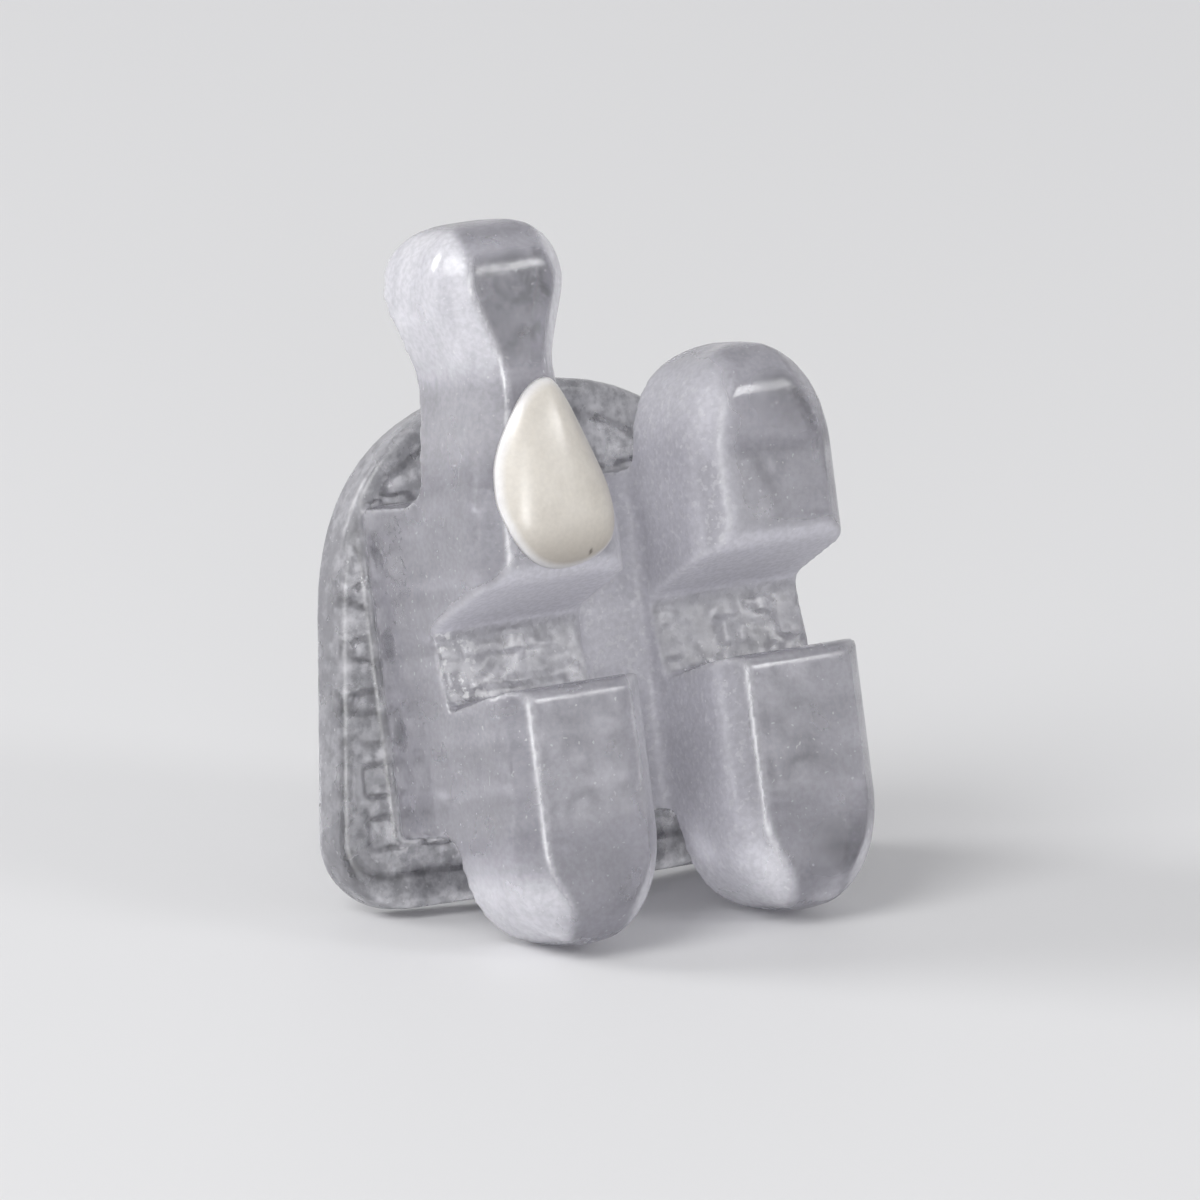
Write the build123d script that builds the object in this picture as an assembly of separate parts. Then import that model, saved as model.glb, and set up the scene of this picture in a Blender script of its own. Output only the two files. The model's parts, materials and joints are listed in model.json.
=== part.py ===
from build123d import *
from math import asin, atan2, cos, degrees, hypot, radians, sin, sqrt, tan
import os

# Orthodontic bracket: one moulded ceramic body and a drop of marking paint.
# Modelling frame, in millimetres: X along the archwire slot, Y from the wing fronts towards the
# tooth, Z towards the hook. The finished part is then leaned back onto its lower wing tips and the
# lower edge of its pad, the way it stands on a table.

# Archwire slot: a 0.022 inch slot, turned by its torque about the middle of its floor. Its upper wall
# flares open towards the front, to lead the wire in.
slot_height = 0.559
slot_depth = 0.84
slot_torque = 10.0
upper_wall_flare = 10.0
upper_corner_radius = 0.10
lower_corner_radius = 0.04
upper_lip_radius = 0.24
lower_lip_radius = 0.10

# Tie wings
wing_width = 1.18
wing_gap = 0.57
gap_depth = 0.95
gap_corner_radius = 0.07
wing_depth = 0.88
wing_reach = 1.95
tip_height = 0.72
tip_front_radius = 0.38
tip_back_radius = 0.28
bevel_width = 0.19
bevel_depth = 0.17
bevel_soft_radius = 0.22

# Block between the wings and the pad
block_height = 2.27
block_sink = 0.26
undercut_radius = 0.18

# Bonding pad, curved to the crown of the tooth
pad_thickness = 0.35
pad_curve_radius = 6.0
pad_front = 1.45
pad_bottom = 1.61
pad_crown = 1.85
pad_crown_offset = -0.14
near_shoulder_level = 0.45
far_shoulder_level = 0.0
pad_bottom_width = 3.88
pad_shoulder_width = 3.40
pad_corner_radius = 0.48
pad_rim_radius = 0.08

# Retention studs on the tooth side of the pad
stud_size = 0.20
stud_pitch = 0.36
stud_height = 0.14
pad_border = 0.22

# Ball hook on the upper left wing
hook_offset = -0.12
hook_reach = 3.02
hook_shoulder = 0.95
shoulder_radius = 0.60
neck_level = 1.98
neck_width = 0.64
neck_radius = 0.55
head_level = 2.53
head_width = 1.03
head_low_radius = 0.28
head_top_radius = 0.40

# Marking paint on the upper left wing
mark_offset = -0.06
mark_bottom = 0.62
mark_belly_level = 1.03
mark_belly_width = 0.92
mark_neck_level = 1.58
mark_neck_width = 0.67
mark_shoulder_level = 1.79
mark_shoulder_width = 0.45
mark_top = 1.945
mark_height = 0.18

body_width = 2 * wing_width + wing_gap
wing_centre = (wing_width + wing_gap) / 2
pad_back = pad_front + pad_thickness
block_back = pad_front + block_sink

# Stock that is trimmed or cut away later, with room to spare
through_depth = 2 * pad_back
backing_width = 2 * body_width
backing_length = 4 * hook_reach
cylinder_length = 4 * wing_reach
field_inner_radius = pad_curve_radius / 2

front_plane = Plane(origin=(0, 0, 0), x_dir=(1, 0, 0), z_dir=(0, -1, 0))
into_tooth = (0, 1, 0)
half_turn = 180
tolerance = 1e-4


def rounded_face(corners, radii):
    """Closed polygon with each corner rounded by its own radius; None leaves it sharp."""
    face = make_face(Polyline(*corners, close=True))
    for corner, radius in zip(corners, radii):
        if radius:
            face = fillet(face.vertices().sort_by_distance(corner)[0], radius)
    return face


def side_section(upper_reach):
    """Section across the slot: both wings, the torqued slot and the block behind them."""
    torque = radians(slot_torque)
    upper_slope = radians(slot_torque + upper_wall_flare)
    half_floor = slot_height / 2
    floor_low = (slot_depth - half_floor * sin(torque), -half_floor * cos(torque))
    floor_high = (slot_depth + half_floor * sin(torque), half_floor * cos(torque))
    lip_low = floor_low[1] + floor_low[0] * tan(torque)
    lip_high = floor_high[1] + floor_high[0] * tan(upper_slope)
    outline = [
        ((block_back, -block_height / 2), None),
        ((wing_depth, -block_height / 2), undercut_radius),
        ((wing_depth, -wing_reach), tip_back_radius),
        ((0, -wing_reach), tip_front_radius),
        ((0, lip_low), lower_lip_radius),
        (floor_low, lower_corner_radius),
        (floor_high, upper_corner_radius),
        ((0, lip_high), upper_lip_radius),
        ((0, upper_reach), tip_front_radius),
        ((wing_depth, upper_reach), tip_back_radius),
        ((wing_depth, block_height / 2), undercut_radius),
        ((block_back, block_height / 2), None),
    ]
    corners = [corner for corner, radius in outline]
    radii = [radius for corner, radius in outline]
    return Plane.YZ * rounded_face(corners, radii)


def side_bars():
    """The side section carried out to each end of the slot, and past it above the hook's neck."""
    left = extrude(side_section(hook_reach), amount=-body_width / 2)
    right = extrude(side_section(wing_reach), amount=body_width / 2)
    wider = extrude(side_section(hook_reach), amount=-body_width)
    head_room = split(wider, bisect_by=Plane.XY.offset(neck_level), keep=Keep.TOP)
    return left + right + head_room


def beveled_column(face):
    """One pair of wings seen from the front, with its front edge beveled all round."""
    column = extrude(front_plane * face, amount=block_back, dir=into_tooth)
    front = column.faces().sort_by(Axis.Y)[0]
    column = chamfer(front.edges(), length=bevel_width, length2=bevel_depth, reference=front)
    side_edges = [edge for edge in column.edges() if abs(edge.center().Y - bevel_depth) < tolerance]
    return fillet(side_edges, bevel_soft_radius)


def wing_tip(centre, side):
    """Half ellipse that ends a wing on the given centre line; side is 1 for an upper tip, -1 for a lower."""
    level = side * (wing_reach - tip_height)
    turn = 0 if side > 0 else half_turn
    return EllipticalCenterArc(
        (centre, level), wing_width / 2, tip_height, start_angle=turn, arc_size=half_turn
    )


def right_column():
    upper_tip = wing_tip(wing_centre, 1)
    lower_tip = wing_tip(wing_centre, -1)
    inner_side = Line(upper_tip @ 1, lower_tip @ 0)
    outer_side = Line(lower_tip @ 1, upper_tip @ 0)
    return beveled_column(make_face([upper_tip, inner_side, lower_tip, outer_side]))


def left_column():
    """The left pair of wings, whose upper one runs on into the neck and head of the hook."""
    inner = -wing_centre + wing_width / 2
    outer = -wing_centre - wing_width / 2
    axis = -wing_centre + hook_offset
    outline = [
        ((inner, 0), None),
        ((inner, hook_shoulder), shoulder_radius),
        ((axis + neck_width / 2, neck_level), neck_radius),
        ((axis + head_width / 2, head_level), head_low_radius),
        ((axis + head_width / 2, hook_reach), head_top_radius),
        ((axis - head_width / 2, hook_reach), head_top_radius),
        ((axis - head_width / 2, head_level), head_low_radius),
        ((axis - neck_width / 2, neck_level), neck_radius),
        ((outer, hook_shoulder), shoulder_radius),
        ((outer, 0), None),
    ]
    corners = [corner for corner, radius in outline]
    radii = [radius for corner, radius in outline]
    lower_tip = wing_tip(-wing_centre, -1)
    lower = make_face([lower_tip, Polyline(lower_tip @ 1, (inner, 0), (outer, 0), lower_tip @ 0)])
    return beveled_column((rounded_face(corners, radii) + lower).clean())


def wings_and_block():
    """Both pairs of wings on one broad backing, trimmed to the side section."""
    backing = Pos(0, (gap_depth + block_back) / 2, 0) * Box(
        backing_width, block_back - gap_depth, backing_length
    )
    wings = right_column() + left_column() + backing
    ground = wings.faces().filter_by(Plane.XZ).filter_by_position(
        Axis.Y, gap_depth - tolerance, gap_depth + tolerance
    )
    roots = [edge for face in ground for wire in face.inner_wires() for edge in wire.edges()]
    return fillet(roots, gap_corner_radius) & side_bars()


def pad_outline(inset):
    """Pad seen from the front: straight bottom, sides drawn in a little, domed top."""
    low = -pad_bottom + inset
    half_bottom = pad_bottom_width / 2 - inset
    half_shoulder = pad_shoulder_width / 2 - inset
    near = (-half_shoulder, near_shoulder_level)
    far = (half_shoulder, far_shoulder_level)
    crown = (pad_crown_offset, pad_crown - inset)
    sides = Polyline(near, (-half_bottom, low), (half_bottom, low), far)
    draw_in = half_bottom - half_shoulder
    far_dome = Spline(far, crown, tangents=((-draw_in, far_shoulder_level - low), (-1, 0)))
    near_dome = Spline(crown, near, tangents=((-1, 0), (-draw_in, low - near_shoulder_level)))
    face = make_face([sides, far_dome, near_dome])
    for side in (-1, 1):
        corner = face.vertices().sort_by_distance((side * half_bottom, low))[0]
        face = fillet(corner, pad_corner_radius - inset)
    return face


def tooth_cylinder(radius):
    """Upright cylinder about the centre line that the pad is curved around."""
    return Pos(0, pad_back + pad_curve_radius, 0) * Cylinder(radius, cylinder_length)


def bonding_pad():
    plate = extrude(front_plane * pad_outline(0), amount=through_depth, dir=into_tooth)
    pad = (plate & tooth_cylinder(pad_curve_radius + pad_thickness)) - tooth_cylinder(pad_curve_radius)
    rim = pad.edges().filter_by(Axis.Y, reverse=True)
    return fillet(rim, pad_rim_radius)


def retention_field():
    """What is sunk into the tooth side of the pad: a bordered field with studs left standing."""
    field = extrude(front_plane * pad_outline(pad_border), amount=through_depth, dir=into_tooth)
    field = (field & tooth_cylinder(pad_curve_radius + stud_height)) - tooth_cylinder(field_inner_radius)
    columns = int((pad_bottom_width / 2 - pad_border - stud_size) / stud_pitch)
    rows_up = int((pad_crown - pad_border - stud_size) / stud_pitch)
    rows_down = int((pad_bottom - pad_border - stud_size) / stud_pitch)
    stud = Box(stud_size, through_depth, stud_size)
    studs = [
        Pos(column * stud_pitch, pad_back, row * stud_pitch) * stud
        for column in range(-columns, columns + 1)
        for row in range(-rows_down, rows_up + 1)
    ]
    return field - studs


def bracket_body():
    return (wings_and_block() + bonding_pad()) - retention_field()


def lean_angle():
    """Angle that sets the lower wing tips and the lower back edge of the pad on one plane."""
    tip = (wing_depth - tip_back_radius, -wing_reach + tip_back_radius)
    corner = pad_bottom_width / 2 - pad_corner_radius
    edge = (pad_back + pad_curve_radius - sqrt(pad_curve_radius ** 2 - corner ** 2), -pad_bottom)
    along = edge[0] - tip[0]
    rise = edge[1] - tip[1]
    return degrees(atan2(rise, along) + asin(tip_back_radius / hypot(along, rise)))


def colour_mark(body):
    """A flattened drop of paint that has set on the front of the upper left wing."""
    profile = Spline(
        (0, mark_bottom), (mark_belly_width / 2, mark_belly_level),
        (mark_neck_width / 2, mark_neck_level),
        (mark_shoulder_width / 2, mark_shoulder_level), (0, mark_top),
        tangents=((1, 0), (-1, 0)),
    )
    half = make_face([profile, Line((0, mark_top), (0, mark_bottom))])
    drop = revolve(Plane.XZ * half, Axis.Z)
    drop = scale(drop, by=(1, mark_height / (mark_belly_width / 2), 1))
    cut = Pos(mark_offset - wing_centre, 0, 0) * drop - body
    return cut.solids().sort_by(SortBy.VOLUME)[-1]


def stood_up(pieces):
    """Leans the pieces back together and sets them on the ground, centred over the origin."""
    leaned = [Rot(-lean_angle(), 0, 0) * piece for piece in pieces]
    box = Compound(leaned).bounding_box()
    return [Pos(-box.center().X, -box.center().Y, -box.min.Z) * piece for piece in leaned]


body = bracket_body()
mark = colour_mark(body)
nodes = dict(zip(("bracket_body", "colour_mark"), stood_up([body, mark])))

os.makedirs("parts", exist_ok=True)
for name, piece in nodes.items():
    export_step(piece, f"parts/{name}.step")
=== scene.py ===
import bmesh
import bpy
import json
import math
import numpy as np
from mathutils import Matrix, Vector, noise
from mathutils.bvhtree import BVHTree

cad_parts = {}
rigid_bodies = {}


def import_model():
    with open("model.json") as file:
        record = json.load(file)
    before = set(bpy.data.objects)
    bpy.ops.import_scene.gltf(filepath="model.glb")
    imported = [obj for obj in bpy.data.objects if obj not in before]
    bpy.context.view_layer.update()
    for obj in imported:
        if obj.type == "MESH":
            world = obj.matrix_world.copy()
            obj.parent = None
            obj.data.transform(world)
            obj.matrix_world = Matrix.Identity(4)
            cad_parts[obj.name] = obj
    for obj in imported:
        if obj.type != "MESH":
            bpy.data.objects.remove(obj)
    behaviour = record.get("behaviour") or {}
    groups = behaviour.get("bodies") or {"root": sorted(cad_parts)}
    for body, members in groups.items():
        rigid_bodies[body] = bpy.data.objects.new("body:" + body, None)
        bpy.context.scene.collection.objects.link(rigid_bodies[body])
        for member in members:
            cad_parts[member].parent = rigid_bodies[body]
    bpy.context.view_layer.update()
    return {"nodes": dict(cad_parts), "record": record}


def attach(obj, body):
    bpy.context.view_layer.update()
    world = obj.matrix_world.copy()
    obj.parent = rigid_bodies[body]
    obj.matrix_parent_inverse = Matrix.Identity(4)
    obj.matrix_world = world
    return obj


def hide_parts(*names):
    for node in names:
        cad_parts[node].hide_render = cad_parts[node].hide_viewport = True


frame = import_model()
mm = 0.001
scene = bpy.context.scene
scene.view_settings.view_transform = "Standard"
mounts = {mount["name"]: mount for mount in frame["record"]["mounts"]}
print("frame loaded:", sorted(frame["nodes"]))


# The bracket's own axes, read from the mounts: across the slot, into the tooth, up to the hook
bracketAxes = {
    "padDepth": 1.80,  # mm from the wing fronts back to the bonding mount
    "across": Vector((1, 0, 0)),
    "inward": Vector(mounts["bonding_pad"]["axis"]),
    "up": Vector(mounts["hook_neck"]["axis"]),
}
padMount = Vector(mounts["bonding_pad"]["pos_m"]) / mm
bracketOrigin = padMount - bracketAxes["inward"] * bracketAxes["padDepth"]
axesRows = np.array([bracketAxes["across"], bracketAxes["inward"], bracketAxes["up"]])


def toBracket(points):  # row-frame points in mm, to the bracket's own axes
    return (points - np.array(bracketOrigin)) @ axesRows.T


def ramp(value, low, high):  # smooth 0 to 1 between low and high, either way round
    t = np.clip((value - low) / (high - low), 0, 1)
    return t * t * (3 - 2 * t)


# Mesh helpers, working in millimetres
def remeshedCopy(node, name, voxel):  # an even skin over a CAD node
    mesh = frame["nodes"][node].data.copy()
    mesh.transform(Matrix.Scale(1 / mm, 4))
    rough = bpy.data.objects.new(name + "Rough", mesh)
    scene.collection.objects.link(rough)
    remesh = rough.modifiers.new("skin", "REMESH")
    remesh.mode = "VOXEL"
    remesh.voxel_size = voxel
    bpy.context.view_layer.update()
    graph = bpy.context.evaluated_depsgraph_get()
    skin = bpy.data.meshes.new_from_object(rough.evaluated_get(graph))
    bpy.data.objects.remove(rough)
    skin.name = name
    return skin


def readPoints(mesh):
    points = np.zeros(len(mesh.vertices) * 3)
    mesh.vertices.foreach_get("co", points)
    return points.reshape(-1, 3)


def writePoints(mesh, points):
    mesh.vertices.foreach_set("co", points.astype(np.float32).ravel())
    mesh.update()


def edgePairs(mesh):
    pairs = np.zeros(len(mesh.edges) * 2, np.int64)
    mesh.edges.foreach_get("vertices", pairs)
    return pairs.reshape(-1, 2)


def spread(values, pairs):  # mean of each point's neighbours
    ends = np.concatenate([pairs[:, 0], pairs[:, 1]])
    others = np.concatenate([pairs[:, 1], pairs[:, 0]])
    count = np.maximum(np.bincount(ends, minlength=len(values)), 1)
    means = []
    for column in values.reshape(len(values), -1).T:
        means.append(np.bincount(ends, weights=column[others], minlength=len(values)) / count)
    return np.stack(means, 1).reshape(values.shape)


def smoothed(values, pairs, rounds, pull=0.5, push=-0.52):  # pull then push, so the form keeps its size
    for step in range(rounds):
        values = values + pull * (spread(values, pairs) - values)
        values = values + push * (spread(values, pairs) - values)
    return values


def softened(values, pairs, rounds, pull=0.5):  # plain smoothing, which rounds sharp edges
    for step in range(rounds):
        values = values + pull * (spread(values, pairs) - values)
    return values


def pointNormals(mesh):
    normals = np.zeros(len(mesh.vertices) * 3)
    mesh.vertex_normals.foreach_get("vector", normals)
    return normals.reshape(-1, 3)


def addMask(mesh, name, *masks):  # up to four masks in one point colour
    layer = mesh.attributes.new(name, "FLOAT_COLOR", "POINT")
    values = np.zeros((len(mesh.vertices), 4), np.float32)
    values[:, :len(masks)] = np.stack(masks, 1)
    layer.data.foreach_set("color", values.ravel())


def asPiece(mesh, name, node, material):  # back to metres, in the frame, standing for its node
    mesh.transform(Matrix.Scale(mm, 4))
    mesh.materials.clear()
    mesh.materials.append(material)
    mesh.shade_smooth()
    piece = bpy.data.objects.new(name, mesh)
    scene.collection.objects.link(piece)
    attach(piece, "root")
    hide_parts(node)
    return piece


# Node helpers
def newMaterial(name):
    material = bpy.data.materials.new(name)
    material.use_nodes = True
    tree = material.node_tree
    return material, tree, tree.nodes["Principled BSDF"]


def link(tree, source, target):
    tree.links.new(source, target)


def mmCoordinates(tree, stretch=(1, 1, 1)):  # object coordinates in mm, drawn out along an axis if wanted
    place = tree.nodes.new("ShaderNodeTexCoord")
    mapping = tree.nodes.new("ShaderNodeMapping")
    mapping.inputs["Scale"].default_value = [s / mm for s in stretch]
    link(tree, place.outputs["Object"], mapping.inputs["Vector"])
    return mapping.outputs["Vector"]


def grain(tree, coordinates, facts):  # plain noise
    node = tree.nodes.new("ShaderNodeTexNoise")
    node.inputs["Scale"].default_value = facts["scale"]
    node.inputs["Detail"].default_value = facts["detail"]
    node.inputs["Roughness"].default_value = facts.get("roughness", 0.5)
    node.inputs["Distortion"].default_value = facts.get("distortion", 0.0)
    link(tree, coordinates, node.inputs["Vector"])
    return node.outputs["Fac"]


def stepBetween(tree, source, edges, levels=(0.0, 1.0)):
    node = tree.nodes.new("ShaderNodeMapRange")
    node.interpolation_type = "SMOOTHSTEP"
    for socket, value in zip(("From Min", "From Max", "To Min", "To Max"), (*edges, *levels)):
        node.inputs[socket].default_value = value
    link(tree, source, node.inputs["Value"])
    return node.outputs["Result"]


def patches(tree, coordinates, facts):  # noise cut to soft patches
    return stepBetween(tree, grain(tree, coordinates, facts), facts["edges"], facts.get("levels", (0.0, 1.0)))


def combine(tree, operation, first, second):
    node = tree.nodes.new("ShaderNodeMath")
    node.operation = operation
    for socket, value in zip(node.inputs, (first, second)):
        if isinstance(value, (int, float)):
            socket.default_value = value
        else:
            link(tree, value, socket)
    return node.outputs["Value"]


def blendColour(tree, amount, base, top, blendType="MIX"):
    node = tree.nodes.new("ShaderNodeMix")
    node.data_type = "RGBA"
    node.blend_type = blendType
    if isinstance(amount, (int, float)):
        node.inputs["Factor"].default_value = amount
    else:
        link(tree, amount, node.inputs["Factor"])
    for socket, value in ((node.inputs["A"], base), (node.inputs["B"], top)):
        if isinstance(value, tuple):
            socket.default_value = (*value, 1)
        else:
            link(tree, value, socket)
    return node.outputs["Result"]


def overlay(tree, colour, mask, strength, top):  # one colour laid over another where a mask says
    return blendColour(tree, combine(tree, "MULTIPLY", mask, strength), colour, top)


def readMask(tree, name):  # red, green, blue and alpha of one point colour
    source = tree.nodes.new("ShaderNodeAttribute")
    source.attribute_name = name
    split = tree.nodes.new("ShaderNodeSeparateColor")
    link(tree, source.outputs["Color"], split.inputs["Color"])
    return split.outputs["Red"], split.outputs["Green"], split.outputs["Blue"], source.outputs["Alpha"]


def grey(tree, value):  # a grey of the given value
    node = tree.nodes.new("ShaderNodeCombineColor")
    for channel in ("Red", "Green", "Blue"):
        link(tree, value, node.inputs[channel])
    return node.outputs["Color"]


def addBump(tree, shader, height, strength, depth):  # depth in mm
    bump = tree.nodes.new("ShaderNodeBump")
    bump.inputs["Strength"].default_value = strength
    bump.inputs["Distance"].default_value = depth * mm
    link(tree, height, bump.inputs["Height"])
    link(tree, bump.outputs["Normal"], shader.inputs["Normal"])


# Ceramic body
ceramic = {
    "deep": (0.42, 0.412, 0.455),
    "pale": (0.545, 0.537, 0.585),
    "frost": (0.76, 0.755, 0.80),
    # pale of the painted highlights along edges and lines, and of the drop's pale edge
    "rim": (0.88, 0.88, 0.91),
    # painted shade on the left-facing bevels beside the block
    "bevel": (0.37, 0.362, 0.41),
    # painted light: the pale glow laid under the upper wings' lips and in the gap, where they are shaded
    "paintedGlow": (0.80, 0.79, 0.86),
    # painted dark: what a dark backdrop would look like through the clear windows
    "window": (0.17, 0.169, 0.185),
    # painted dark: what a dark backdrop would look like through the pad's clear patches
    "padDark": (0.22, 0.22, 0.24),
    "padPale": (0.74, 0.735, 0.77),
    "padBand": (0.38, 0.376, 0.405),
    "rootDark": (0.18, 0.18, 0.20),
    "floorDark": (0.36, 0.355, 0.39),
    "floorPale": (0.64, 0.635, 0.68),
    # white of the painted glints and sparkles
    "sparkle": (0.95, 0.95, 0.97),
    "strength": {  # how far each mask takes the colour over
        "paintedGlow": 0.8, "bevel": 0.6, "band": 0.6, "rootDark": 0.75,
        "floor": 0.8, "rim": 0.7, "crease": 0.2, "speck": 0.55,
    },
    "stretch": (1.0, 1.0, 0.35),  # streaks are drawn out towards the hook
    "cloud": {"scale": 1.3, "detail": 3.0, "edges": (0.35, 0.68)},  # each scale is per mm
    "streak": {"scale": 5.0, "detail": 4.0, "roughness": 0.6, "edges": (0.25, 0.62), "levels": (0.72, 1.0)},
    "mottle": {
        "scale": 4.2, "detail": 5.0, "roughness": 0.65, "distortion": 0.6,
        "edges": (0.36, 0.62), "levels": (0.35, 1.0),
    },
    "blotch": {"scale": 3.0, "detail": 4.0, "roughness": 0.6, "distortion": 0.3},
    "blotchFine": {"scale": 10.0, "detail": 3.0, "roughness": 0.6},
    "blotchEdges": (0.84, 1.22),
    "facetScale": 24.0,
    "facetShare": 0.22,
    "floorGrain": {"scale": 2.6, "detail": 6.0, "roughness": 0.6},
    "floorEdges": (0.42, 0.82),
    "glint": {"scale": 20.0, "detail": 2.0, "edges": (0.56, 0.64)},
    "brokenLine": {
        "scale": 6.0, "detail": 3.0, "roughness": 0.6, "edges": (0.40, 0.60), "levels": (0.3, 0.9),
    },
    "fine": {"scale": 26.0, "detail": 2.0, "edges": (0.3, 0.7), "levels": (0.92, 1.08)},
    # painted glints: fine white sparkles all over the body
    "speck": {"scale": 34.0, "detail": 0.0, "edges": (0.77, 0.83)},
    "sheen": {"scale": 3.0, "detail": 4.0, "edges": (0.3, 0.7), "levels": (0.14, 0.28)},
    "roughening": {"floor": 0.1, "pad": 0.08, "paintedGlow": 0.5},  # on top of the sheen
    "clarity": (0.71, 0.95),  # share of light let through: milky block, clear pad and tips
    "padClarity": 0.9,
    "frostClarity": 0.45,  # what frost, rims and lines leave of it
    "scatter": 0.30,
    "scatterReach": 0.30,  # mm
    "scatterTint": (1.0, 1.0, 1.05),
    "index": 1.60,
    "bump": {"scale": 22.0, "detail": 3.0, "roughness": 0.6},
    "bumpStrength": 0.3,
    "bumpDepth": 0.004,  # mm
}


def ceramicMaterial():
    material, tree, shader = newMaterial("frostedCeramic")
    plain = mmCoordinates(tree)
    upright = mmCoordinates(tree, ceramic["stretch"])
    strength = ceramic["strength"]
    frostMask, windowMask, floorMask, padMask = readMask(tree, "zones")
    rimMask, creaseMask, lineMask, rootDarkMask = readMask(tree, "edges")
    paintedGlowMask, bandMask, sideLineMask, glintMask = readMask(tree, "depths")
    bevelShadeMask = readMask(tree, "bevels")[0]

    # milky block, frosted tips, clear windows, with painted dark standing for a dark backdrop seen through
    # the windows
    colour = blendColour(tree, patches(tree, plain, ceramic["cloud"]), ceramic["deep"], ceramic["pale"])
    streakedFrost = combine(tree, "MULTIPLY", frostMask, patches(tree, upright, ceramic["streak"]))
    colour = blendColour(tree, streakedFrost, colour, ceramic["frost"])
    colour = overlay(tree, colour, windowMask, patches(tree, plain, ceramic["mottle"]), ceramic["window"])
    # painted light under the lips and in the gap between the wings
    colour = overlay(tree, colour, paintedGlowMask, strength["paintedGlow"], ceramic["paintedGlow"])
    # painted shade on the left-facing bevels
    colour = overlay(tree, colour, bevelShadeMask, strength["bevel"], ceramic["bevel"])

    # frosted patches in the clear pad, the clear ones painted dark as if a dark backdrop showed through them
    blotch = grain(tree, upright, ceramic["blotch"])
    blotch = combine(tree, "ADD", blotch, grain(tree, plain, ceramic["blotchFine"]))
    blotch = stepBetween(tree, blotch, ceramic["blotchEdges"])
    pad = blendColour(tree, blotch, ceramic["padDark"], ceramic["padPale"])
    pad = overlay(tree, pad, bandMask, strength["band"], ceramic["padBand"])
    colour = blendColour(tree, padMask, colour, pad)
    # darker spots on the block's sides, at its root
    colour = overlay(tree, colour, rootDarkMask, strength["rootDark"], ceramic["rootDark"])

    # broken crystals on the slot floor
    crystals = tree.nodes.new("ShaderNodeTexVoronoi")
    crystals.inputs["Scale"].default_value = ceramic["facetScale"]
    link(tree, plain, crystals.inputs["Vector"])
    facet = tree.nodes.new("ShaderNodeSeparateColor")
    link(tree, crystals.outputs["Color"], facet.inputs["Color"])
    rough = combine(tree, "MULTIPLY", facet.outputs["Red"], ceramic["facetShare"])
    rough = combine(tree, "ADD", rough, grain(tree, plain, ceramic["floorGrain"]))
    rough = stepBetween(tree, rough, ceramic["floorEdges"])
    floor = blendColour(tree, rough, ceramic["floorDark"], ceramic["floorPale"])
    colour = overlay(tree, colour, floorMask, strength["floor"], floor)
    # painted glints on the crystals
    colour = overlay(tree, colour, glintMask, patches(tree, plain, ceramic["glint"]), ceramic["sparkle"])

    # light caught along edges, roots and the lines where a bevel meets a front
    broken = patches(tree, upright, ceramic["brokenLine"])
    colour = overlay(tree, colour, rimMask, strength["rim"], ceramic["rim"])
    colour = overlay(tree, colour, creaseMask, strength["crease"], ceramic["frost"])
    colour = overlay(tree, colour, lineMask, broken, ceramic["rim"])
    colour = overlay(tree, colour, sideLineMask, broken, ceramic["frost"])

    fine = grey(tree, patches(tree, plain, ceramic["fine"]))
    colour = blendColour(tree, 1.0, colour, fine, "MULTIPLY")
    # painted glints, small and scattered
    glintSpecks = patches(tree, plain, ceramic["speck"])
    colour = overlay(tree, colour, glintSpecks, strength["speck"], ceramic["sparkle"])
    link(tree, colour, shader.inputs["Base Color"])

    sheen = patches(tree, plain, ceramic["sheen"])
    for name, mask in (("floor", floorMask), ("pad", padMask), ("paintedGlow", paintedGlowMask)):
        sheen = combine(tree, "ADD", sheen, combine(tree, "MULTIPLY", mask, ceramic["roughening"][name]))
    link(tree, sheen, shader.inputs["Roughness"])

    # light let through: most in the pad and the windows, least where it is frosted
    clear = combine(tree, "MULTIPLY", padMask, ceramic["padClarity"])
    clear = combine(tree, "MAXIMUM", windowMask, clear)
    clear = stepBetween(tree, clear, (0.0, 1.0), ceramic["clarity"])
    cloudy = combine(tree, "MAXIMUM", streakedFrost, lineMask)
    cloudy = combine(tree, "MAXIMUM", cloudy, rimMask)
    for name, mask in (("paintedGlow", paintedGlowMask), ("band", bandMask)):
        cloudy = combine(tree, "MAXIMUM", cloudy, combine(tree, "MULTIPLY", mask, strength[name]))
    cloudy = stepBetween(tree, cloudy, (0.0, 1.0), (1.0, ceramic["frostClarity"]))
    link(tree, combine(tree, "MULTIPLY", clear, cloudy), shader.inputs["Transmission Weight"])
    shader.inputs["IOR"].default_value = ceramic["index"]
    shader.inputs["Subsurface Weight"].default_value = ceramic["scatter"]
    shader.inputs["Subsurface Radius"].default_value = ceramic["scatterTint"]
    shader.inputs["Subsurface Scale"].default_value = ceramic["scatterReach"] * mm
    addBump(tree, shader, grain(tree, plain, ceramic["bump"]), ceramic["bumpStrength"], ceramic["bumpDepth"])
    return material


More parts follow.
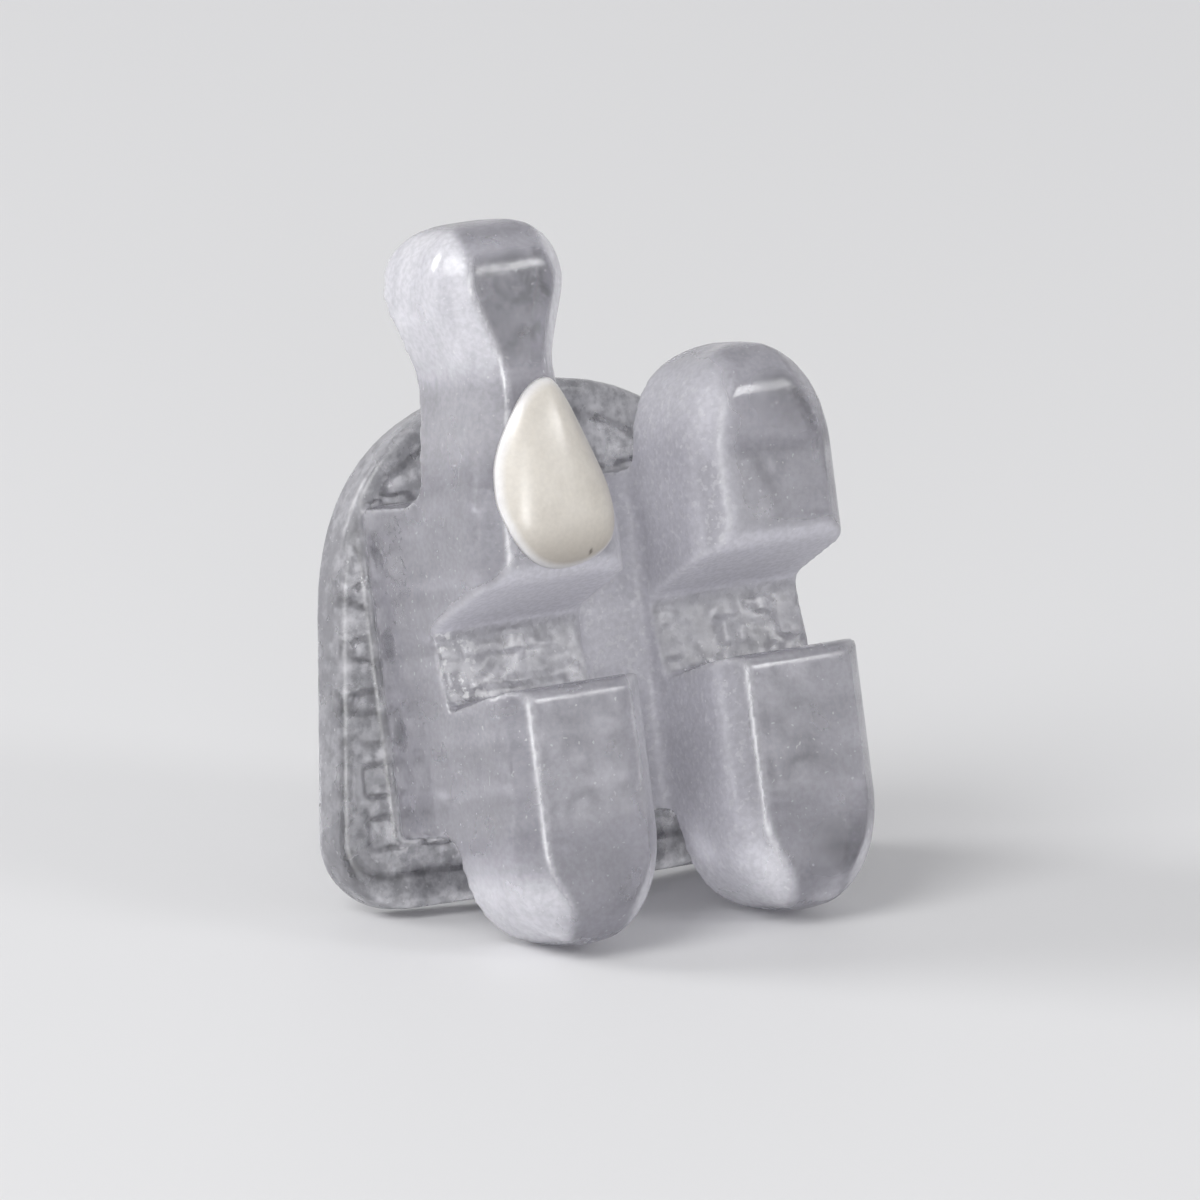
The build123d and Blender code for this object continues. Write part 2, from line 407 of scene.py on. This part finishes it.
bodySkin = {
    "voxel": 0.030,  # mm
    "evenRounds": 4,
    "softRounds": 2,
    "bendRounds": 10,
    "maskRounds": 3,
    "lineRounds": 2,
    "bandRounds": 24,
    "floorRoughness": 0.012,  # mm
    "floorGrain": 9.0,  # per mm
    "floorLeast": 0.02,  # less of the floor's mask than this stays smooth
    "crystalShare": 0.6,
    "crystalScale": 0.7,
    "crystalSink": 0.3,
    "blockHalf": 1.135,  # mm, as the next five
    "blockSide": 1.465,
    "wingCentre": 0.875,
    "wingHalf": 0.59,
    "padFront": 1.45,
    "padCurve": 6.35,
    "rootDarkLevels": (0.86, 0.20, -0.41),  # soft dark marks at the root of the block
    "rootDarkSize": (0.11, 0.15),  # mm deep and tall
    "lowerLeftFade": 0.75,  # how much less clear the lower left tip is
    "frostLeast": 0.45,
    "gapPaintedGlow": 0.6,
    "gapGlint": 0.28,
    "glintLeast": 0.12,
    "lowerLine": 0.55,
    "underLipFade": 0.75,  # how much less the rim shows under the upper wings
    "spans": {  # where a mask starts and is full, and then fades and ends: mm, or a share of facing
        "floorFacing": (0.75, 0.93),
        "floorHeight": (0.30, 0.25),
        "floorDepth": (0.70, 0.76, 0.91, 0.94),
        "rimBend": (0.006, 0.026),
        "creaseBend": (0.006, 0.024),
        "padDepth": (-0.06, -0.01),  # from the pad's front
        "tipReach": (0.05, 0.45),  # past the block
        "hookLevel": (1.9, 2.2),
        "wingLevel": (0.5, 1.0),
        "windowFacing": (0.86, 0.97),
        "windowAcross": (-0.5, 0.5),  # of half a wing
        "frostFacing": (0.95, 0.78),
        "frostSide": (0.15, 0.6),
        "frostLow": (1.2, 1.6),
        "lineFacing": (0.79, 0.86, 0.94, 0.985),
        "lineDepth": (0.10, 0.05),
        "lineLeft": (0.12, 0.30),
        "rootDarkFade": (1.0, 0.3),
        "rootDarkSide": (-0.1, -0.03),  # from the block's side
        "lipFacing": (0.15, 0.5),
        "lipLevel": (0.12, 0.22, 0.60, 0.80),
        "underLipLevel": (0.05, 0.2, 0.7, 0.9),
        "gapAcross": (0.52, 0.34),
        "gapRight": (0.66, 0.46),
        "gapLevel": (0.2, 0.5),
        "bandFacing": (-0.4, 0.0),
        "bandSpread": (0.02, 0.12),
        "bandEdge": (0.75, 0.45),
        "sideLineFacing": (0.36, 0.45, 0.53, 0.62),
        "sideLineLeft": (0.3, 0.6),
        "sideLineDepth": (0.5, 0.3),
        "upperLineLevel": (0.7, 1.1, 1.7, 1.95),
        "lowerLineLevel": (0.25, 0.45, 1.0, 1.25),
        "bevelFacing": (0.60, 0.68, 0.80, 0.85),
        "bevelDepth": (0.24, 0.16),
        "bevelLeft": (0.3, 0.5),
        "bevelReach": (0.15, -0.05),  # past the block
        "glintLeft": (-1.05, -1.30),
    },
}


def span(value, name):  # 0 to 1 over a named span, and back to 0 where it has four ends
    ends = bodySkin["spans"][name]
    mask = ramp(value, ends[0], ends[1])
    return mask * ramp(value, ends[3], ends[2]) if len(ends) == 4 else mask


def slotCrystals(points, normals, floor):  # how far each point of the slot floor stands out or in
    lift = np.zeros(len(points))
    for i in np.nonzero(floor > bodySkin["floorLeast"])[0]:
        spot = Vector(points[i]) * bodySkin["floorGrain"]
        lift[i] = noise.noise(spot) + bodySkin["crystalShare"] * noise.cell(spot * bodySkin["crystalScale"])
    return normals * (floor * (lift - bodySkin["crystalSink"]) * bodySkin["floorRoughness"])[:, None]


def tipMasks(x, z, front, left, tip):  # frost on the tips' sides, and the clear windows in their fronts
    hook = span(z, "hookLevel")
    leftHalf = x < 0
    acrossWing = (x - np.sign(x) * bodySkin["wingCentre"]) / bodySkin["wingHalf"]
    window = tip * span(front, "windowFacing") * np.maximum(span(acrossWing, "windowAcross"), hook)
    window = window * (1 - bodySkin["lowerLeftFade"] * span(-z, "wingLevel") * leftHalf)
    window = window * np.maximum(hook, 1 - span(z, "wingLevel") * leftHalf)
    frost = tip * span(front, "frostFacing") * span(np.abs(left), "frostSide")
    least = bodySkin["frostLeast"]
    frost = frost * (least + (1 - least) * np.maximum(hook, span(-z, "frostLow")))
    return frost, window


# dark spots on the block's sides, where they meet the pad
def rootDarkMask(x, y, z):
    rootDark = np.zeros(len(x))
    deep, tall = bodySkin["rootDarkSize"]
    for level in bodySkin["rootDarkLevels"]:
        away = np.hypot((y - bodySkin["padFront"]) / deep, (z - level) / tall)
        rootDark = np.maximum(rootDark, span(away, "rootDarkFade"))
    return rootDark * span(np.abs(x) - bodySkin["blockSide"], "rootDarkSide")


def frontLines(x, y, z, front, left):  # along the bevels: painted highlights at the front and at the side, and painted shade on the bevel itself
    line = span(front, "lineFacing") * span(y, "lineDepth") * span(left, "lineLeft")
    upper = span(z, "upperLineLevel") * (x < 0)
    lower = bodySkin["lowerLine"] * span(-z, "lowerLineLevel")
    sideLine = span(front, "sideLineFacing") * span(left, "sideLineLeft")
    sideLine = sideLine * np.maximum(upper, lower) * span(y, "sideLineDepth")
    bevel = span(front, "bevelFacing") * span(y, "bevelDepth") * span(left, "bevelLeft")
    return line, sideLine, bevel * span(np.abs(z) - bodySkin["blockHalf"], "bevelReach")


def ceramicBody():
    mesh = remeshedCopy("bracket_body", "bracketBody", bodySkin["voxel"])
    pairs = edgePairs(mesh)
    sharp = smoothed(readPoints(mesh), pairs, bodySkin["evenRounds"])
    points = softened(sharp, pairs, bodySkin["softRounds"])
    writePoints(mesh, points)
    normals = pointNormals(mesh)
    left, front, down = -(normals @ axesRows.T).T
    x, y, z = toBracket(points).T
    height = np.abs(z)

    floor = span(front, "floorFacing") * span(height, "floorHeight") * span(y, "floorDepth")
    writePoints(mesh, points + slotCrystals(points, normals, floor))

    bend = np.einsum("ij,ij->i", sharp - softened(sharp, pairs, bodySkin["bendRounds"]), normals)
    bend = softened(bend, pairs, 1)
    rim, crease = span(bend, "rimBend"), span(-bend, "creaseBend")
    pad = span(y - bodySkin["padFront"] - x * x / (2 * bodySkin["padCurve"]), "padDepth")
    tip = span(height - bodySkin["blockHalf"], "tipReach") * (1 - pad)
    frost, window = tipMasks(x, z, front, left, tip)
    line, sideLine, bevel = frontLines(x, y, z, front, left)

    # where light is painted: under the upper wings' lips, and in the gap between the wings
    lip = span(down, "lipFacing") * span(z, "lipLevel")
    gap = span(x, "gapRight") * (x > 0) * span(z, "gapLevel")  # more of the right wing's side, above the slot
    gap = np.maximum(span(np.abs(x), "gapAcross"), gap) * (1 - floor)
    paintedGlow = np.maximum(lip, bodySkin["gapPaintedGlow"] * gap) * (1 - pad)
    band = np.maximum(rim, crease) * pad * span(front, "bandFacing")
    band = span(softened(band, pairs, bodySkin["bandRounds"]), "bandSpread")
    band = np.maximum(band, pad * span(np.abs(front), "bandEdge"))
    # where glints are painted: on the slot floor, most at its left end, and a little in the gap
    least = bodySkin["glintLeast"]
    glint = floor * (least + (1 - least) * span(x, "glintLeft"))
    glint = np.maximum(glint, bodySkin["gapGlint"] * gap * (1 - pad))
    rim = rim * (1 - bodySkin["underLipFade"] * span(z, "underLipLevel") * (1 - pad))

    broad, narrow = bodySkin["maskRounds"], bodySkin["lineRounds"]
    frost, window, line, paintedGlow = (softened(mask, pairs, broad) for mask in (frost, window, line, paintedGlow))
    band, sideLine, bevel = (softened(mask, pairs, narrow) for mask in (band, sideLine, bevel))
    addMask(mesh, "zones", frost, window, floor, pad)
    addMask(mesh, "depths", paintedGlow, band, sideLine, glint)
    addMask(mesh, "bevels", bevel)
    addMask(mesh, "edges", rim, crease, line, rootDarkMask(x, y, z))
    corners = [Vector(point) for point in readPoints(mesh)]
    surface = BVHTree.FromPolygons(corners, [list(face.vertices) for face in mesh.polygons])
    return asPiece(mesh, "bracketBody", "bracket_body", ceramicMaterial()), surface


body, bodySurface = ceramicBody()
print("ceramic body:", len(body.data.polygons), "faces")


# Paint drop
paint = {
    "cream": (0.64, 0.605, 0.55),
    # warm dark, for the random mottle and for the painted shade at the foot
    "warm": (0.40, 0.365, 0.32),
    "mottle": {"scale": 2.6, "detail": 4.0, "roughness": 0.6, "edges": (0.35, 0.75), "levels": (0.0, 0.4)},
    "fine": {"scale": 30.0, "detail": 2.0, "edges": (0.3, 0.7), "levels": (0.97, 1.03)},
    "bump": {"scale": 9.0, "detail": 3.0},
    "bumpStrength": 0.15,
    "bumpDepth": 0.004,  # mm
    "edgeStart": (0.90, 0.99),  # share of the reach over which the thin edge turns pale
    "edgeStrength": 0.6,
    "footLevels": (1.08, 0.64),  # mm, where the darker, warmer foot starts and is full: painted shade, with a warm tint of the paint's own
    "footStrength": 0.95,
    "speck": (0.10, 0.08, 0.06),
    "speckPlace": (-0.70, 0.71),  # mm across and up, where a grain of dirt sits
    "speckSize": 0.013,  # mm
    "speckFade": (1.3, 0.8),  # of its size
    "roughness": 0.30,
    "shine": 0.9,
    "scatter": 0.15,
    "scatterReach": 0.12,  # mm
    "scatterTint": (1.0, 0.9, 0.7),
    "middle": (-0.85, 1.10),  # mm across and up
    "outline": (  # mm across and up, round the drop from its right
        (-0.41, 1.05), (-0.435, 1.25), (-0.50, 1.42), (-0.59, 1.60), (-0.66, 1.78), (-0.72, 1.91),
        (-0.81, 1.96), (-0.93, 1.93), (-1.04, 1.84), (-1.145, 1.69), (-1.25, 1.48), (-1.30, 1.24),
        (-1.285, 0.98), (-1.22, 0.82), (-1.12, 0.70), (-0.92, 0.625), (-0.72, 0.635), (-0.55, 0.70),
        (-0.44, 0.85),
    ),
    "outlineRounds": 12,
    "height": 0.18,  # mm
    "domePowers": (2.2, 0.48),  # flat in the middle, steep at the rim
    "rimPower": 4,  # how late the dome turns to the wing's bevel
    "backPower": 8,
    "leastFilm": 0.02,  # mm over the wing at its middle
    "sink": 0.03,  # mm, how far its back goes into the wing
    "rings": 22,
    "ringCrowding": 1.6,  # rings crowd towards the rim
    "spokes": 120,
    "weld": 0.0005,  # mm
}


def paintMaterial():
    material, tree, shader = newMaterial("creamPaint")
    plain = mmCoordinates(tree)
    edgeMask, speckMask, footShadeMask = readMask(tree, "drop")[:3]
    # warm mottle at random, and painted shade darkening the foot
    warm = combine(tree, "MAXIMUM", patches(tree, plain, paint["mottle"]), footShadeMask)
    colour = blendColour(tree, warm, paint["cream"], paint["warm"])
    colour = overlay(tree, colour, edgeMask, paint["edgeStrength"], ceramic["rim"])
    colour = blendColour(tree, speckMask, colour, paint["speck"])
    fine = grey(tree, patches(tree, plain, paint["fine"]))
    link(tree, blendColour(tree, 1.0, colour, fine, "MULTIPLY"), shader.inputs["Base Color"])
    shader.inputs["Roughness"].default_value = paint["roughness"]
    shader.inputs["Specular IOR Level"].default_value = paint["shine"]
    shader.inputs["Subsurface Weight"].default_value = paint["scatter"]
    shader.inputs["Subsurface Radius"].default_value = paint["scatterTint"]
    shader.inputs["Subsurface Scale"].default_value = paint["scatterReach"] * mm
    addBump(tree, shader, grain(tree, plain, paint["bump"]), paint["bumpStrength"], paint["bumpDepth"])
    return material


def dropReach():  # the outline as a smooth reach from the drop's middle, spoke by spoke
    away = np.array(paint["outline"]) - np.array(paint["middle"])
    angles = np.arctan2(away[:, 1], away[:, 0])
    order = np.argsort(angles)
    spokes = np.linspace(-np.pi, np.pi, paint["spokes"], endpoint=False)
    reach = np.interp(spokes, angles[order], np.hypot(*away.T)[order], period=2 * np.pi)
    for step in range(paint["outlineRounds"]):
        reach = (np.roll(reach, 1) + 2 * reach + np.roll(reach, -1)) / 4
    return spokes, reach


def wingFront(across, up):  # mm, depth of the ceramic's front at a place on the wing
    start = bracketOrigin + bracketAxes["across"] * across + bracketAxes["up"] * up - bracketAxes["inward"]
    return bodySurface.ray_cast(start, bracketAxes["inward"])[3] - 1.0


def dropPoints():  # the domed front, then the back that follows the wing, ring by ring from the middle
    spokes, reach = dropReach()
    places = [(r * math.cos(angle), r * math.sin(angle)) for angle, r in zip(spokes, reach)]
    middle, speck = paint["middle"], paint["speckPlace"]
    rimDepth = [wingFront(middle[0] + place[0], middle[1] + place[1]) for place in places]
    flat, steep = paint["domePowers"]
    points, masks = [], []
    for domed in (True, False):
        for ring in range(paint["rings"] + 1):
            share = 1 - (1 - ring / paint["rings"]) ** paint["ringCrowding"]
            dome = paint["height"] * (1 - share ** flat) ** steep
            for spoke in range(paint["spokes"] if ring else 1):
                across = middle[0] + share * places[spoke][0]
                up = middle[1] + share * places[spoke][1]
                ground = wingFront(across, up)
                if domed:
                    depth = rimDepth[spoke] * share ** paint["rimPower"] - dome
                    depth = min(depth, ground - paint["leastFilm"] * (1 - share))
                else:
                    depth = ground + paint["sink"] * (1 - share ** paint["backPower"])
                points.append(bracketOrigin + bracketAxes["across"] * across
                              + bracketAxes["inward"] * depth + bracketAxes["up"] * up)
                speckAway = math.hypot(across - speck[0], up - speck[1]) / paint["speckSize"]
                masks.append((ramp(share, *paint["edgeStart"]), ramp(speckAway, *paint["speckFade"]) * domed,
                              paint["footStrength"] * ramp(up, *paint["footLevels"])))
    return points, masks


def dropFaces():
    faces = []
    count, rings = paint["spokes"], paint["rings"]
    for side in range(2):
        base = side * (1 + rings * count)
        for spoke in range(count):
            after = (spoke + 1) % count
            fan = [base, base + 1 + spoke, base + 1 + after]
            faces.append(fan if side else fan[::-1])
            for ring in range(rings - 1):
                inner, outer = base + 1 + ring * count, base + 1 + (ring + 1) * count
                quad = [inner + spoke, outer + spoke, outer + after, inner + after]
                faces.append(quad if side else quad[::-1])
    return faces


def paintDrop():
    points, masks = dropPoints()
    mesh = bpy.data.meshes.new("paintDrop")
    mesh.from_pydata(points, [], dropFaces())
    addMask(mesh, "drop", *np.array(masks).T)
    joined = bmesh.new()
    joined.from_mesh(mesh)
    bmesh.ops.remove_doubles(joined, verts=joined.verts, dist=paint["weld"])
    bmesh.ops.recalc_face_normals(joined, faces=joined.faces)
    joined.to_mesh(mesh)
    joined.free()
    return asPiece(mesh, "paintDrop", "colour_mark", paintMaterial())


drop = paintDrop()
print("paint drop:", len(drop.data.polygons), "faces")


# Floor
studio = {
    "floorColour": (0.80, 0.80, 0.81),
    "floorHalf": 0.6,  # m
    "floorRoughness": 0.6,
    "floorShine": 0.2,
    "background": (0.90, 0.90, 0.91),
    "ambient": 0.42,
}


def studioFloor():
    half = studio["floorHalf"]
    mesh = bpy.data.meshes.new("studioFloor")
    corners = [(-half, -half, 0), (half, -half, 0), (half, half, 0), (-half, half, 0)]
    mesh.from_pydata(corners, [], [(0, 1, 2, 3)])
    floor = bpy.data.objects.new("studioFloor", mesh)
    scene.collection.objects.link(floor)
    material, tree, shader = newMaterial("paleFloor")
    shader.inputs["Base Color"].default_value = (*studio["floorColour"], 1)
    shader.inputs["Roughness"].default_value = studio["floorRoughness"]
    shader.inputs["Specular IOR Level"].default_value = studio["floorShine"]
    mesh.materials.append(material)


def studioWorld():  # pale where it is seen or mirrored, softer as a light
    world = bpy.data.worlds.new("studioWorld")
    world.use_nodes = True
    tree = world.node_tree
    sky = tree.nodes["Background"]
    sky.inputs["Color"].default_value = (*studio["background"], 1)
    path = tree.nodes.new("ShaderNodeLightPath")
    seen = combine(tree, "MAXIMUM", path.outputs["Is Camera Ray"], path.outputs["Is Transmission Ray"])
    seen = combine(tree, "MAXIMUM", seen, path.outputs["Is Glossy Ray"])
    link(tree, stepBetween(tree, seen, (0.0, 1.0), (studio["ambient"], 1.0)), sky.inputs["Strength"])
    scene.world = world


# Soft lamps: degrees round and up, mm away and across, and the share of a colour that each shows by itself
lamps = {
    "keyLamp": {"azimuth": -72, "elevation": 42, "distance": 150, "size": 95, "level": 0.46},
    "fillLamp": {"azimuth": 32, "elevation": 27, "distance": 160, "size": 44, "level": 0.15},
    "lowLamp": {"azimuth": -30, "elevation": 7, "distance": 160, "size": 60, "level": 0.26},
    "edgeLamp": {"azimuth": -130, "elevation": 28, "distance": 150, "size": 70, "level": 0.40},
}


def direction(azimuth, elevation):  # from the object; azimuth 0 is the front, and positive is towards +X
    a, e = math.radians(azimuth), math.radians(elevation)
    return Vector((math.sin(a) * math.cos(e), -math.cos(a) * math.cos(e), math.sin(e)))


def studioLamps(target):
    for name, facts in lamps.items():
        data = bpy.data.lights.new(name, "AREA")
        data.shape = "DISK"
        data.size = facts["size"] * mm
        data.energy = facts["level"] * (math.pi * facts["distance"] * mm) ** 2
        lamp = bpy.data.objects.new(name, data)
        away = direction(facts["azimuth"], facts["elevation"])
        lamp.location = target + away * facts["distance"] * mm
        lamp.rotation_euler = away.to_track_quat("Z", "Y").to_euler()
        scene.collection.objects.link(lamp)


# Camera, at the photograph's angle and framing
view = {
    "azimuth": -32.0,
    "elevation": 15.0,
    "roll": -0.3,
    "distance": 0.26,  # m
    "sensor": 36,  # mm
    "clip": (0.01, 5),  # m, nearest and farthest
    "frameWidth": 8.17,  # mm across the picture
    "middle": (0, 0, 2.4),  # mm, the point that the lamps face and the next offset is taken from
    "offset": (-0.093, -0.259),  # mm, picture's middle from that point, right and up
}


def studioCamera():
    away = direction(view["azimuth"], view["elevation"])
    right = Vector((0, 0, 1)).cross(away).normalized()
    up = away.cross(right)
    roll = math.radians(view["roll"])
    turnedRight = right * math.cos(roll) - up * math.sin(roll)
    turnedUp = right * math.sin(roll) + up * math.cos(roll)
    aim = (Vector(view["middle"]) + turnedRight * view["offset"][0] + turnedUp * view["offset"][1]) * mm
    data = bpy.data.cameras.new("studioCamera")
    data.sensor_width = view["sensor"]
    data.lens = data.sensor_width * view["distance"] / (view["frameWidth"] * mm)
    data.clip_start, data.clip_end = view["clip"]
    camera = bpy.data.objects.new("studioCamera", data)
    spin = Matrix((turnedRight, turnedUp, away)).transposed()
    camera.matrix_world = Matrix.Translation(aim + away * view["distance"]) @ spin.to_4x4()
    scene.collection.objects.link(camera)
    scene.camera = camera


studioFloor()
studioWorld()
studioLamps(Vector(view["middle"]) * mm)
studioCamera()
print("studio set")
